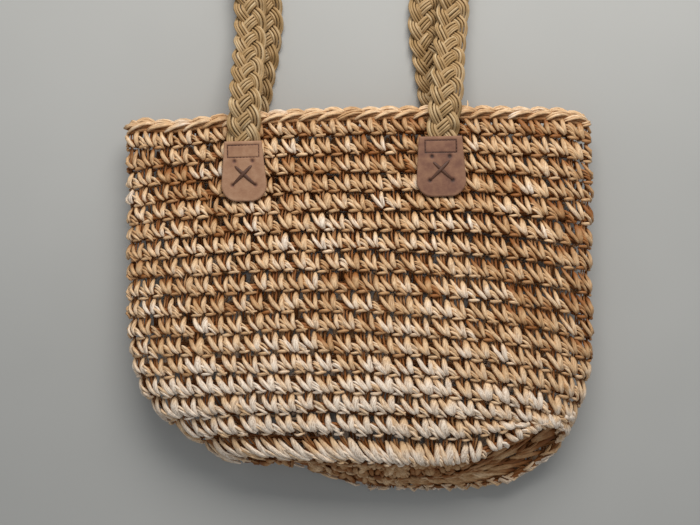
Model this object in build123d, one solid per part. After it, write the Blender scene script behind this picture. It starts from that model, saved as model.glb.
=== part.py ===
from build123d import *
import math
import os

# A crocheted straw tote that lies on its back panel, in millimetres.
# +X runs along the mouth, +Y from the base towards the handles, +Z up out of the front panel.
# The origin lies on the flat of the back panel, where the bag rests, at about its middle.

# --- Crocheted body -------------------------------------------------------------------------
rim_y = 165.0              # plane in which the crocheted wall ends, under the rim chain
wall_end_y = -118.0        # plane, at half height, in which the wall passes into the base
base_depth = 58.0          # how far the rounded base stands out below the wall
mouth_half_width = 206.0   # half the width of the wall at the mouth
belly_half_width = 210.0   # half the width at its widest
corner_half_width = 171.0  # half the width where the wall passes into the base
belly_y = 60.0             # where the wall is widest
mouth_height = 25.5        # from the back panel to the front panel at the mouth
back_rim_gap = 2.2         # between the back handle and the back panel's middle at the mouth
crown_z = 72.0             # height of the front panel at its highest
crown_y = -85.0            # where the front panel is highest
rest_y = 20.0              # where the back panel comes down to the surface it lies on
rest_press = 1.5           # how far the round back panel is pressed flat
wall_thickness = 7.0       # one layer of crochet in thick straw
body_centre_x = 1.5        # middle of the body, a little right of the origin
corner_shift_x = 12.0      # how far the lower end of the wall has slipped to the right as it lies
base_shift_x = 55.0        # and the lowest point of the base
base_tilt = 24.0           # how far the base leans, its front edge higher, in degrees
end_tilt = 10.0            # the lean already present where the wall ends
roundness = 2.8            # exponent of the flattened section: 2 is an ellipse, more is squarer
taper_power = 5.0           # how suddenly the wall draws in at its lower corners
wall_stations = 12
base_stations = 6
base_width_inner = 1.4     # the base narrows as (1 - depth^inner)^outer, depth from 0 to 1
base_width_outer = 0.55
base_height_power = 0.42   # and how slowly it gets thinner
base_reach = 0.86          # share of the quarter turn at which the dome ends in a small flat
section_points = 40
cut_overrun = 2.0          # the hollow is cut this far past the end of each tube
rim_chain_height = 8.5     # the chain stitch stands this far past the wall
rim_chain_overhang = 0.8   # and is this much wider all round

# --- Handles ----------------------------------------------------------------------------------
strap_width = 30.0
strap_thickness = 11.0
handle_spacing = 179.0     # between the middles of the two tabs of one handle
handle_centre_x = -13.0
pivot_gap = 0.7            # between a fixed plait end and the swinging handle
loop_gap = 0.3             # between the two handles where one lies on the other
floor_gap = 0.3            # under whatever lies on the surface without carrying the bag
rim_back_z = floor_gap + strap_thickness + back_rim_gap
rim_front_z = rim_back_z + mouth_height

# Plan of each handle's middle line: points to the right of and beyond its own tab's top edge,
# the left leg's from the left tab up to the loop, the right leg's from the loop down.
front_left_leg = [(4.5, 69.8), (6.5, 126.8), (0.5, 225.8), (59.5, 284.8)]
front_right_leg = [(-36.5, 284.8), (22.5, 225.8), (16.5, 122.8), (7.5, 59.8)]
back_left_leg = [(11.5, 62.8), (24.5, 126.8), (8.5, 186.8), (14.5, 242.8), (60.5, 282.8)]
back_right_leg = [(-38.5, 282.8), (7.5, 242.8), (7.5, 184.8), (-13.5, 122.8), (-3.5, 59.8)]
strap_reach = 400.0        # past the loops, where the straps' side view ends
rim_ramp = 12.0            # the front handle is level this far each side of the rim chain's edge
rim_lift = 0.5             # it arches this much on its way up to the rim
rim_drop = 1.0             # and sags this much once past it
front_drop_run = 80.0      # from the rim to where the front handle lies
back_drop_run = 25.0       # and the back handle

# --- Leather tabs and what holds them -----------------------------------------------------------
tab_drop = 19.8            # from the end of the wall down to the tabs' top edges
tab_height = 54.0
tab_top_width = 36.0
tab_width = 44.0
tab_corner_radius = 15.0
tab_thickness = 2.6
seat_gap = 0.3             # between a piece and what it is laced or sewn to
plait_end_thickness = 5.0
plait_end_width = 27.0
plait_end_length = 15.0
lace_width = 3.4
lace_thickness = 1.4
lace_leg_radius = 1.4
lace_hole_radius = 1.7
lace_top_drop = 18.0       # from the tab's top edge to the upper pair of holes
lace_bottom_drop = 40.0    # and to the lower pair
lace_top_half = 8.0        # half the distance between the upper holes
lace_bottom_half = 10.5    # half the distance between the lower holes
lace_knot_radius = 3.2
stitch_width = 31.0        # the sewn rectangle
stitch_depth = 12.5
stitch_drop = 3.0          # from the tab's top edge to the rectangle
thread_width = 1.1
thread_height = 0.6
tab_top_y = rim_y - tab_drop


def ease(share):
    """A curve from 0 to 1 that starts level and ends level."""
    share = max(0.0, min(1.0, share))
    return share * share * (3.0 - 2.0 * share)


def front_height(y):
    """Height of the front panel's middle at y."""
    return rim_front_z + (crown_z - rim_front_z) * ease((rim_y - y) / (rim_y - crown_y))


def back_height(y):
    """Height of the back panel's middle at y: it comes down from the back handle and lies flat."""
    return rim_back_z - (rim_back_z + rest_press) * ease((rim_y - y) / (rim_y - rest_y))


def half_width(y):
    """Half the width of the wall at y: widest at the belly, drawn in towards the base."""
    if y > belly_y:
        share = (y - belly_y) / (rim_y - belly_y)
        return belly_half_width - (belly_half_width - mouth_half_width) * share ** 2
    return belly_half_width - (belly_half_width - corner_half_width) * corner_share(y)


def corner_share(y):
    """0 at the belly, rising late and quickly to 1 where the wall ends."""
    return max(0.0, (belly_y - y) / (belly_y - wall_end_y)) ** taper_power


def wall_station(y):
    """The wall's section at y as (centre x, y, z, half width, half height, lean)."""
    back = back_height(y)
    front = front_height(y)
    shift = corner_shift_x * corner_share(y)
    tilt = end_tilt * corner_share(y)
    half_height = (front - back) / 2 / math.cos(math.radians(tilt))
    return (body_centre_x + shift, y, (front + back) / 2, half_width(y), half_height, tilt)


def base_station(share):
    """The rounded base's section, from 0 at the wall to 1 at its lowest."""
    start = wall_station(wall_end_y)
    turn = math.radians(90.0 * share)
    width = start[3] * (1.0 - math.sin(turn) ** base_width_inner) ** base_width_outer
    height = start[4] * math.cos(turn) ** base_height_power
    centre_x = start[0] + (base_shift_x - corner_shift_x) * share
    tilt = end_tilt + (base_tilt - end_tilt) * share
    return (centre_x, wall_end_y - base_depth * math.sin(turn), start[2], width, height, tilt)


def section_wire(station, inset=0.0, push=0.0):
    """A closed flattened loop round the station, drawn in by inset and moved by push along Y."""
    centre_x, y, z, width, height, tilt = station
    power = 2.0 / roundness
    points = []
    for step in range(section_points):
        angle = 2 * math.pi * (step + 0.5) / section_points
        across = math.copysign(abs(math.cos(angle)) ** power, math.cos(angle))
        up = math.copysign(abs(math.sin(angle)) ** power, math.sin(angle))
        rise = (height - inset) * up
        lean_angle = math.radians(tilt)
        points.append((centre_x + (width - inset) * across,
                       y + push + rise * math.sin(lean_angle),
                       z + rise * math.cos(lean_angle)))
    return Wire([Edge.make_spline(points, periodic=True)])


def above_surface(shape):
    """What is left of the shape above the surface the bag lies on."""
    keep = Pos(0, 0, 200) * Box(2000, 2000, 400)
    return shape & keep


def wall_levels():
    """The y of each of the wall's sections, from the mouth to the base."""
    step = (rim_y - wall_end_y) / (wall_stations - 1)
    return [rim_y - step * index for index in range(wall_stations)]


def crochet_wall():
    """The crocheted tube: a hollow flattened loft, open at the mouth and at the base."""
    stations = [wall_station(y) for y in wall_levels()]
    outer = Solid.make_loft([section_wire(s) for s in stations])
    inner_wires = [section_wire(stations[0], wall_thickness, cut_overrun)]
    inner_wires += [section_wire(s, wall_thickness) for s in stations[1:-1]]
    inner_wires += [section_wire(stations[-1], wall_thickness, -cut_overrun)]
    inner = Solid.make_loft(inner_wires)
    return above_surface(outer) - inner


def crochet_base():
    """The rounded bottom: a hollow dome that closes the tube."""
    shares = [base_reach * index / (base_stations - 1) for index in range(base_stations)]
    outer = Solid.make_loft([section_wire(base_station(s)) for s in shares])
    inner_wires = [section_wire(base_station(0.0), wall_thickness, cut_overrun)]
    inner_wires += [section_wire(base_station(s), wall_thickness, wall_thickness * s) for s in shares[1:]]
    inner = Solid.make_loft(inner_wires)
    return above_surface(outer) - inner


def rim_chain():
    """The chain-stitch ring that finishes the mouth."""
    rim = wall_station(rim_y)
    outer = Face(section_wire(rim, -rim_chain_overhang))
    inner = Face(section_wire(rim, wall_thickness + rim_chain_overhang))
    return extrude(outer - inner, amount=rim_chain_height, dir=(0, 1, 0))


def surface_height(x, y, side):
    """Height of the wall's outer face at x, y on the front (side 1) or the back (side -1)."""
    centre_x, _, z, width, height, _ = wall_station(y)
    share = min(1.0, abs(x - centre_x) / width)
    return z + side * height * (1.0 - share ** roundness) ** (1.0 / roundness)


def seat_height(x, y, reach, side):
    """The furthest the wall stands out at y between x - reach and x + reach."""
    heights = [side * surface_height(x + reach * k / 4, y, side) for k in range(-4, 5)]
    return side * max(heights)


class Seat:
    """Where one tab sits: over the plait's end at its top, on the wall at its bottom."""

    def __init__(self, x, side):
        self.x = x
        self.side = side
        end_height = seat_height(x, tab_top_y - plait_end_length, plait_end_width / 2, side)
        end_face = side * end_height + plait_end_thickness + 2 * seat_gap
        low_height = seat_height(x, tab_top_y - tab_height, tab_width / 2, side)
        low_face = side * low_height + seat_gap
        rise = (low_face - end_face) / (tab_height - plait_end_length)
        self.inner_top = side * (end_face - rise * plait_end_length)
        self.slope = side * math.degrees(math.atan(rise))

    def place(self, shape):
        """Moves a shape drawn with Y up the tab, Z outwards and the tab's inner top edge at 0."""
        if self.side < 0:
            shape = mirror(shape, about=Plane.XY)
        return Pos(self.x, tab_top_y, self.inner_top) * Rot(-self.slope, 0, 0) * shape

    def outer_top(self):
        """Height of the tab's outer face at its top edge."""
        return self.inner_top + self.side * tab_thickness


def lace_points():
    """The four lace holes: upper left, upper right, lower left, lower right."""
    return [(-lace_top_half, -lace_top_drop), (lace_top_half, -lace_top_drop),
            (-lace_bottom_half, -lace_bottom_drop), (lace_bottom_half, -lace_bottom_drop)]


def tab_shape():
    """The leather tab: straight top edge, sides that spread, large round lower corners."""
    half_top = tab_top_width / 2
    half = tab_width / 2
    outline = Polyline((-half_top, 0), (half_top, 0), (half, -tab_height + tab_corner_radius),
                       (half, -tab_height), (-half, -tab_height),
                       (-half, -tab_height + tab_corner_radius), close=True)
    face = make_face(outline)
    corners = face.vertices().sort_by(Axis.Y)[:2]
    face = fillet(corners, tab_corner_radius * 0.95)
    tab = extrude(face, amount=tab_thickness)
    for x, y in lace_points():
        tab -= Pos(x, y, tab_thickness / 2) * Cylinder(lace_hole_radius, 3 * tab_thickness)
    return tab


def bar(start, end, width, low, high):
    """A flat round-ended bar from start to end between two heights."""
    run_x = end[0] - start[0]
    run_y = end[1] - start[1]
    length = math.hypot(run_x, run_y)
    middle = ((start[0] + end[0]) / 2, (start[1] + end[1]) / 2)
    slot = SlotCenterToCenter(length, width)
    turned = Pos(middle[0], middle[1], low) * Rot(0, 0, math.degrees(math.atan2(run_y, run_x))) * slot
    return extrude(turned, amount=high - low)


def lace_shape(depth):
    """The lace: an X on the tab, four legs through tab and wall, two bars and knots inside."""
    upper_left, upper_right, lower_left, lower_right = lace_points()
    top = tab_thickness + lace_thickness
    shape = bar(upper_left, lower_right, lace_width, tab_thickness, top)
    shape += bar(upper_right, lower_left, lace_width, tab_thickness, top)
    for x, y in lace_points():
        leg = Cylinder(lace_leg_radius, top - 0.2 + depth, align=(Align.CENTER, Align.CENTER, Align.MIN))
        shape += Pos(x, y, -depth) * leg
    for upper, lower in ((upper_left, lower_left), (upper_right, lower_right)):
        shape += bar(upper, lower, lace_width, -depth - lace_thickness, -depth)
    knot = Cylinder(lace_knot_radius, lace_thickness, align=(Align.CENTER, Align.CENTER, Align.MAX))
    for x, y in (lower_left, lower_right):
        shape += Pos(x, y, -depth) * knot
    return shape


def box_stitch_shape():
    """The sewn rectangle, a frame of thread that lies on the tab."""
    outer = Rectangle(stitch_width, stitch_depth)
    inner = Rectangle(stitch_width - 2 * thread_width, stitch_depth - 2 * thread_width)
    centre_y = -stitch_drop - stitch_depth / 2
    return extrude(Pos(0, centre_y, tab_thickness) * (outer - inner), amount=thread_height)


def plait_end_shape():
    """The flattened end of the plait, just under the tab's inner face."""
    block = Box(plait_end_width, plait_end_length, plait_end_thickness)
    block = fillet(block.edges().filter_by(Axis.Y), plait_end_thickness * 0.4)
    return Pos(0, -plait_end_length / 2, -seat_gap - plait_end_thickness / 2) * block


def lace_depth(seat):
    """How far behind the tab's inner face the lace's inner bars lie, clear inside the wall."""
    gaps = []
    for x, y in lace_points():
        run = math.tan(math.radians(seat.slope)) * -y
        inner_face = seat.inner_top + run
        wall_face = surface_height(seat.x + x, tab_top_y + y, seat.side)
        gaps.append(seat.side * (inner_face - wall_face))
    return max(gaps) + wall_thickness + 2 * seat_gap


def lace_holes(seat):
    """The holes that the lace's legs need in the wall."""
    holes = None
    for x, y in lace_points():
        hole = Pos(x, y, -lace_depth(seat) / 2) * Cylinder(lace_hole_radius, lace_depth(seat) + 4)
        holes = hole if holes is None else holes + hole
    return seat.place(holes)


def radii_along(points):
    """The largest arc each corner of a route has room for: 0.45 of its shorter run."""
    radii = []
    for before, here, after in zip(points, points[1:], points[2:]):
        first = Vector(here[0] - before[0], here[1] - before[1])
        second = Vector(after[0] - here[0], after[1] - here[1])
        turn = math.radians(first.get_angle(second))
        radii.append(0.45 * min(first.length, second.length) / math.tan(turn / 2))
    return radii


def strap_band(points):
    """The strap's plan: a band of the strap's width along the route."""
    path = FilletPolyline(*points, radius=radii_along(points))
    edges = path.edges()
    band = None
    for edge in edges:
        start = edge @ 0
        across = (edge % 0).rotate(Axis.Z, 90)
        profile = Plane(origin=start, x_dir=across, z_dir=edge % 0) * Rectangle(strap_width, 200)
        piece = sweep(profile, path=edge)
        band = piece if band is None else band + piece
    return band, path


def strap_profile(levels):
    """The strap's side view: a band of the strap's thickness that follows (y, z) levels."""
    path = FilletPolyline(*[(0, y, z) for y, z in levels], radius=radii_along(levels))
    band = None
    for edge in path.edges():
        normal = Plane(origin=edge @ 0, x_dir=(1, 0, 0), z_dir=edge % 0)
        piece = sweep(normal * Rectangle(600, strap_thickness), path=edge)
        band = piece if band is None else band + piece
    return band


def handle(left_leg, right_leg, levels, name):
    """A flat strap: the plan band cut to the side view's band."""
    left_x = handle_centre_x - handle_spacing / 2
    right_x = handle_centre_x + handle_spacing / 2
    points = [(left_x, tab_top_y + pivot_gap)]
    points += [(left_x + right, tab_top_y + beyond) for right, beyond in left_leg]
    points += [(right_x + right, tab_top_y + beyond) for right, beyond in right_leg]
    points += [(right_x, tab_top_y + pivot_gap)]
    plan, path = strap_band(points)
    shape = plan & strap_profile(levels)
    radii = ", ".join(f"{radius:.0f}" for radius in radii_along(points))
    print(f"{name}: middle line {path.length:.0f} mm, arc radii {radii} mm, volume / section "
          f"{shape.volume / strap_width / strap_thickness:.0f} mm")
    return shape


def pivot_height(seat):
    """Height of the fold line: outside the tab and outside the strap as it lies on the wall."""
    wall_face = seat_height(seat.x, tab_top_y, strap_width / 2, seat.side)
    strap_face = seat.side * wall_face + seat_gap + strap_thickness
    return seat.side * max(strap_face, seat.side * seat.outer_top())


def handle_levels(pivot_z, side, lie_z):
    """Heights of the strap's middle along Y: from the fold line, past the rim, to where it lies."""
    start = (tab_top_y + pivot_gap, pivot_z - side * strap_thickness / 2)
    rim_edge = rim_y + rim_chain_height
    end = (tab_top_y + strap_reach, lie_z)
    if side < 0:
        return [start, (rim_edge + back_drop_run, lie_z), end]
    rim_face = rim_front_z + rim_chain_overhang + seat_gap
    over_rim = max(start[1], rim_face + strap_thickness / 2)
    return [start, (rim_edge - rim_ramp, over_rim + rim_lift),
            (rim_edge + rim_ramp, over_rim - rim_drop), (rim_edge + front_drop_run, lie_z), end]


os.makedirs("parts", exist_ok=True)

seats = {}
for side_name, side in (("front", 1), ("back", -1)):
    for hand, sign in (("left", -1), ("right", 1)):
        seats[f"{side_name}_{hand}"] = Seat(handle_centre_x + sign * handle_spacing / 2, side)

wall = crochet_wall()
for seat in seats.values():
    wall -= lace_holes(seat)
export_step(wall, "parts/crochet_wall.step")
export_step(crochet_base(), "parts/crochet_base.step")
export_step(rim_chain(), "parts/rim_chain.step")

for name, seat in seats.items():
    export_step(seat.place(tab_shape()), f"parts/{name}_tab.step")
    export_step(seat.place(lace_shape(lace_depth(seat))), f"parts/{name}_lace.step")
    export_step(seat.place(box_stitch_shape()), f"parts/{name}_box_stitch.step")
    export_step(seat.place(plait_end_shape()), f"parts/{name}_plait_end.step")

back_lie = floor_gap + strap_thickness / 2
front_lie = back_lie + strap_thickness + loop_gap
front_pivot = max(pivot_height(seats["front_left"]), pivot_height(seats["front_right"]))
back_pivot = min(pivot_height(seats["back_left"]), pivot_height(seats["back_right"]))
print(f"front pivot z {front_pivot:.2f}, back pivot z {back_pivot:.2f}")
front_levels = handle_levels(front_pivot, 1, front_lie)
back_levels = handle_levels(back_pivot, -1, back_lie)
export_step(handle(front_left_leg, front_right_leg, front_levels, "front_handle"),
            "parts/front_handle.step")
export_step(handle(back_left_leg, back_right_leg, back_levels, "back_handle"),
            "parts/back_handle.step")
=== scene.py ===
# %% [markdown]
# # A crocheted straw beach bag
# The bag lies flat on its back panel. Its body is thick twisted straw, crocheted in rounds from an
# oval base up to a mouth finished with a chain stitch. Two plaited straw handles are held by leather
# tabs, each sewn on with a rectangle of thread and laced to the bag with a crossed lace.
# The pieces are in metres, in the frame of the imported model, so nothing has to be fitted. Small sizes
# are written in millimetres, and MM turns them to metres.
# %% The frame
import math

import bpy
import numpy as np
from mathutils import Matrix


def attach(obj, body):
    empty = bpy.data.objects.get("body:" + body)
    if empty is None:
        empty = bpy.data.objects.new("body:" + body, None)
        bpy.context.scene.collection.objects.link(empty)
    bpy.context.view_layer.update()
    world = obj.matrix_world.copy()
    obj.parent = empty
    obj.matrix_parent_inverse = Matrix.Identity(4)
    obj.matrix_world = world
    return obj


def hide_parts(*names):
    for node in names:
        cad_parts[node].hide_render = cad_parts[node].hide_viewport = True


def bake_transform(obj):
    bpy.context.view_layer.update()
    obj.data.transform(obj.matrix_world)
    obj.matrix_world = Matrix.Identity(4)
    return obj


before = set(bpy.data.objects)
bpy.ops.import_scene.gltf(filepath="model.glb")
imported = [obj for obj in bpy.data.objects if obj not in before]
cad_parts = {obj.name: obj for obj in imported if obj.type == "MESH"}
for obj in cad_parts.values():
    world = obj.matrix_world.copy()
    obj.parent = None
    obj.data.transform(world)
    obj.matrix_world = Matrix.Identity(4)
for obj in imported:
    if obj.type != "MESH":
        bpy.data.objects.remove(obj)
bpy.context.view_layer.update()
scene = bpy.context.scene
MM = 0.001
draw = np.random.default_rng(20)

# %% [markdown]
# ## Camera
# The bag is seen from straight above, turned a little, so the camera looks down along -Z. The lens is
# worked out from how wide a strip it must see at the height of the bag's front panel.
# %% Camera
CAMERA_HEIGHT = 0.80
PANEL_HEIGHT = 0.045
VIEW_WIDTH = 0.630
VIEW_CENTRE = (-0.0091, 0.0340)
CAMERA_TURN = -1.4       # degrees about the vertical
camera_data = bpy.data.cameras.new("camera")
camera_data.sensor_width = 36.0
camera_data.lens = camera_data.sensor_width * (CAMERA_HEIGHT - PANEL_HEIGHT) / VIEW_WIDTH
camera = bpy.data.objects.new("camera", camera_data)
camera.location = (VIEW_CENTRE[0], VIEW_CENTRE[1], CAMERA_HEIGHT)
camera.rotation_euler = (0.0, 0.0, math.radians(CAMERA_TURN))
scene.collection.objects.link(camera)
scene.camera = camera
print("lens", round(camera_data.lens, 1), "mm")

# %% [markdown]
# ## Nodes and colours
# One small function adds a node with its settings and links, and one turns an sRGB hex colour to the
# linear numbers that the shader works with. Natural materials are never one flat colour, so another
# adds noise to the tone that each piece carries.
# %% Node and colour helpers


def linear(hex_colour):
    """sRGB hex to linear RGBA: c / 12.92 for small c, otherwise ((c + 0.055) / 1.055) ** 2.4."""
    channels = np.array([int(hex_colour[k:k + 2], 16) for k in (1, 3, 5)]) / 255.0
    curve = np.where(channels <= 0.04045, channels / 12.92, ((channels + 0.055) / 1.055) ** 2.4)
    return (*[float(c) for c in curve], 1.0)


def node(tree, kind, settings=None, **links):
    """Adds a node of that kind; settings are its properties, links its sockets: values or outputs.
    The setting "stops" holds (position, hex) pairs."""
    made = tree.nodes.new(kind)
    settings = dict(settings or {})
    stops = settings.pop("stops", ())
    for key, value in settings.items():
        setattr(made, key, value)
    for number, (position, hex_colour) in enumerate(stops):
        elements = made.color_ramp.elements
        element = elements[number] if number < len(elements) else elements.new(position)
        element.position = position
        element.color = linear(hex_colour)
    for key, value in links.items():
        socket = made.inputs[int(key[1:])] if key[0] == "i" and key[1:].isdigit() else made.inputs[key]
        if isinstance(value, bpy.types.NodeSocket):
            tree.links.new(value, socket)
        else:
            socket.default_value = value
    return made


def new_material(name):
    """A material with an empty node tree and its output; returns (material, tree, output)."""
    material = bpy.data.materials.new(name)
    material.use_nodes = True
    material.node_tree.nodes.clear()
    output = material.node_tree.nodes.new("ShaderNodeOutputMaterial")
    return material, material.node_tree, output


def moved_tone(tree, noise, swing):
    """The tone attribute with noise added: tone + swing (noise - 1/2), held between 0 and 1."""
    tone = node(tree, "ShaderNodeAttribute", {"attribute_name": "tone"}).outputs["Fac"]
    added = node(tree, "ShaderNodeMath", {"operation": "MULTIPLY_ADD"}, i0=noise, i1=swing,
                 i2=-swing / 2).outputs[0]
    return node(tree, "ShaderNodeMath", {"operation": "ADD", "use_clamp": True}, i0=tone,
                i1=added).outputs[0]


# %% [markdown]
# ## Floor and light
# The floor is a sheet of plain paper, so it is rough, without gloss, and only faintly cloudy. A large
# soft window stands beyond the handles, and an even sky fills in. Their sum is about the level at
# which a colour renders as it is written.
# %% Floor and light
WINDOW_POWER = 12.0                 # watts
WINDOW_PLACE = (0.12, 0.85, 0.80)
WINDOW_TURN = (-46, 0, -5)          # degrees, so that it faces the bag
SKY_STRENGTH = 0.34
SKY_COLOUR = (0.91, 0.955, 1.0, 1.0)
FLOOR_REACH = 2.5
floor_material, tree, output = new_material("pale_paper_sheet")
place = node(tree, "ShaderNodeTexCoord").outputs["Object"]
cloud = node(tree, "ShaderNodeTexNoise", Vector=place, Scale=3.0, Detail=3.0).outputs["Fac"]
tone = node(tree, "ShaderNodeValToRGB", {"stops": [(0.3, "#b0afab"), (0.7, "#b8b7b3")]},
            Fac=cloud).outputs["Color"]
floor_shader = node(tree, "ShaderNodeBsdfPrincipled", **{"Base Color": tone, "Roughness": 0.9})
tree.links.new(floor_shader.outputs[0], output.inputs["Surface"])
floor_mesh = bpy.data.meshes.new("floor")
floor_corners = [(x * FLOOR_REACH, y * FLOOR_REACH, 0) for x, y in ((-1, -1), (1, -1), (1, 1), (-1, 1))]
floor_mesh.from_pydata(floor_corners, [], [(0, 1, 2, 3)])
floor_mesh.materials.append(floor_material)
floor = bpy.data.objects.new("floor", floor_mesh)
scene.collection.objects.link(floor)

window_data = bpy.data.lights.new("window", "AREA")
window_data.shape = "RECTANGLE"
window_data.size = 0.9
window_data.size_y = 0.6
window_data.energy = WINDOW_POWER
window_data.color = (1.0, 0.985, 0.96)
window = bpy.data.objects.new("window", window_data)
window.location = WINDOW_PLACE
window.rotation_euler = [math.radians(turn) for turn in WINDOW_TURN]
scene.collection.objects.link(window)
world = bpy.data.worlds.new("studio")
world.use_nodes = True
world.node_tree.nodes["Background"].inputs["Color"].default_value = SKY_COLOUR
world.node_tree.nodes["Background"].inputs["Strength"].default_value = SKY_STRENGTH
scene.world = world
scene.view_settings.view_transform = "Standard"

# %% [markdown]
# ## Strands
# Straw, cord and lace are all strands: a flat-oval section carried along a path. Hundreds of them are
# worked out at once as arrays, one row per strand, so each helper below takes and gives whole arrays.
# Each vertex keeps its place in the unrolled strand, so fibres can run along it whichever way it bends.
# %% Strand helpers
TIP = 0.6   # an end closes this many radii past the last ring


def ease(share):
    """s * s * (3 - 2 s), held between 0 and 1."""
    share = np.clip(share, 0, 1)
    return share * share * (3 - 2 * share)


def unit(vectors):
    """Vectors divided by their own length."""
    return vectors / np.maximum(np.linalg.norm(vectors, axis=-1, keepdims=True), 1e-12)


def tangents(paths):
    """Direction of each path at each point: the difference between its neighbours, made unit."""
    return unit(np.gradient(paths, axis=1))


def strands(paths, wide, deep, outward, sides, tone, twist=0.0, shade=0.0):
    """Tubes along paths (n, k, 3): ring point = centre + wide cos(a) side + deep sin(a) up, with
    side = tangent x outward and up = side x tangent; each end closes in a pole TIP radii further.
    The tone of a point is its strand's tone + shade there. The fibres turn by twist per mm."""
    count, points = paths.shape[:2]
    wide = np.broadcast_to(wide, (count, points))
    deep = np.broadcast_to(deep, (count, points))
    along = tangents(paths)
    side = unit(np.cross(along, outward))
    up = np.cross(side, along)
    angle = 2 * np.pi * np.arange(sides) / sides
    cos_a = np.cos(angle)[None, None, :, None]
    sin_a = np.sin(angle)[None, None, :, None]
    rings = (paths[:, :, None] + wide[:, :, None, None] * cos_a * side[:, :, None]
             + deep[:, :, None, None] * sin_a * up[:, :, None])
    steps = np.linalg.norm(np.diff(paths, axis=1), axis=2)
    run = np.concatenate([np.zeros((count, 1)), np.cumsum(steps, axis=1)], axis=1) / MM
    start = draw.uniform(0, 500, (count, 1))
    turn = twist * run[:, :, None] + angle
    girth = (wide + deep)[:, :, None] / 2 / MM
    fibre = np.stack([np.broadcast_to((run + start)[:, :, None], turn.shape),
                      girth * np.cos(turn), girth * np.sin(turn)], axis=-1)
    poles = np.stack([paths[:, 0] - along[:, 0] * (deep[:, 0] * TIP)[:, None],
                      paths[:, -1] + along[:, -1] * (deep[:, -1] * TIP)[:, None]], axis=1)
    pole_fibre = np.stack([fibre[:, 0].mean(1), fibre[:, -1].mean(1)], axis=1)
    per = points * sides + 2
    verts = np.concatenate([rings.reshape(count, -1, 3), poles], axis=1)
    fibre = np.concatenate([fibre.reshape(count, -1, 3), pole_fibre], axis=1)
    ring = np.arange(points - 1)[:, None] * sides
    here = np.arange(sides)[None, :]
    following = (here + 1) % sides
    quads = np.stack([ring + here, ring + following, ring + sides + following, ring + sides + here],
                     axis=-1).reshape(-1, 4)
    last = (points - 1) * sides
    first_cap = np.stack([following[0], here[0], np.full(sides, per - 2)], axis=-1)
    last_cap = np.stack([last + here[0], last + following[0], np.full(sides, per - 1)], axis=-1)
    caps = np.concatenate([first_cap, last_cap])
    base = (np.arange(count) * per)[:, None, None]
    tone = np.broadcast_to(np.asarray(tone, float), (count,))
    shade = np.broadcast_to(np.asarray(shade, float), (points,))
    shade = np.concatenate([np.repeat(shade, sides), shade[[0, -1]]])
    return {"verts": verts.reshape(-1, 3), "fibre": fibre.reshape(-1, 3),
            "quads": (quads + base).reshape(-1, 4), "tris": (caps + base).reshape(-1, 3),
            "tone": (tone[:, None] + shade).ravel()}


def together(parts):
    """Several groups of strands as one, the later ones' vertex numbers moved up."""
    offsets = np.cumsum([0] + [len(p["verts"]) for p in parts[:-1]])
    joined = {key: np.concatenate([p[key] for p in parts]) for key in ("verts", "fibre", "tone")}
    for key in ("quads", "tris"):
        joined[key] = np.concatenate([p[key] + o for p, o in zip(parts, offsets)])
    return joined


def add_piece(name, shape, material, body="bag"):
    """Makes the mesh object from the arrays, smooth, with its fibre and tone attributes, riding on
    body, unless that is None."""
    mesh = bpy.data.meshes.new(name)
    corners = np.concatenate([shape["quads"].ravel(), shape["tris"].ravel()])
    sizes = np.concatenate([np.full(len(shape["quads"]), 4), np.full(len(shape["tris"]), 3)])
    mesh.vertices.add(len(shape["verts"]))
    mesh.vertices.foreach_set("co", shape["verts"].astype(np.float32).ravel())
    mesh.loops.add(len(corners))
    mesh.loops.foreach_set("vertex_index", corners.astype(np.int32))
    mesh.polygons.add(len(sizes))
    mesh.polygons.foreach_set("loop_start", (np.cumsum(sizes) - sizes).astype(np.int32))
    mesh.update(calc_edges=True)
    mesh.polygons.foreach_set("use_smooth", np.full(len(sizes), True))
    mesh.attributes.new("fibre", "FLOAT_VECTOR", "POINT").data.foreach_set(
        "vector", shape["fibre"].astype(np.float32).ravel())
    mesh.attributes.new("tone", "FLOAT", "POINT").data.foreach_set(
        "value", shape["tone"].astype(np.float32))
    mesh.materials.append(material)
    made = bpy.data.objects.new(name, mesh)
    scene.collection.objects.link(made)
    if body:
        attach(made, body)
    print(name, len(shape["quads"]) * 2 + len(shape["tris"]), "triangles")
    return made


# %% [markdown]
# ## Straw
# The straw is long leaf fibre twisted into a loose cord: matt, dry, with fine grooves along it, pale
# where it is smooth and browner in the grooves. The tone attribute chooses how pale a strand is, and
# noise stretched along the fibre draws the grooves, about half a millimetre apart.
# %% Straw materials
FIBRE_RUN = 0.10             # the noise changes this much per millimetre along the strand
FIBRE_ACROSS = 1.5           # and this much across it
GROOVE_NOISE = (0.36, 0.56)  # below the first it is all groove, above the second there is none
BLOTCH_SCALE = 90.0          # slow patches about 11 mm across


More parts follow.
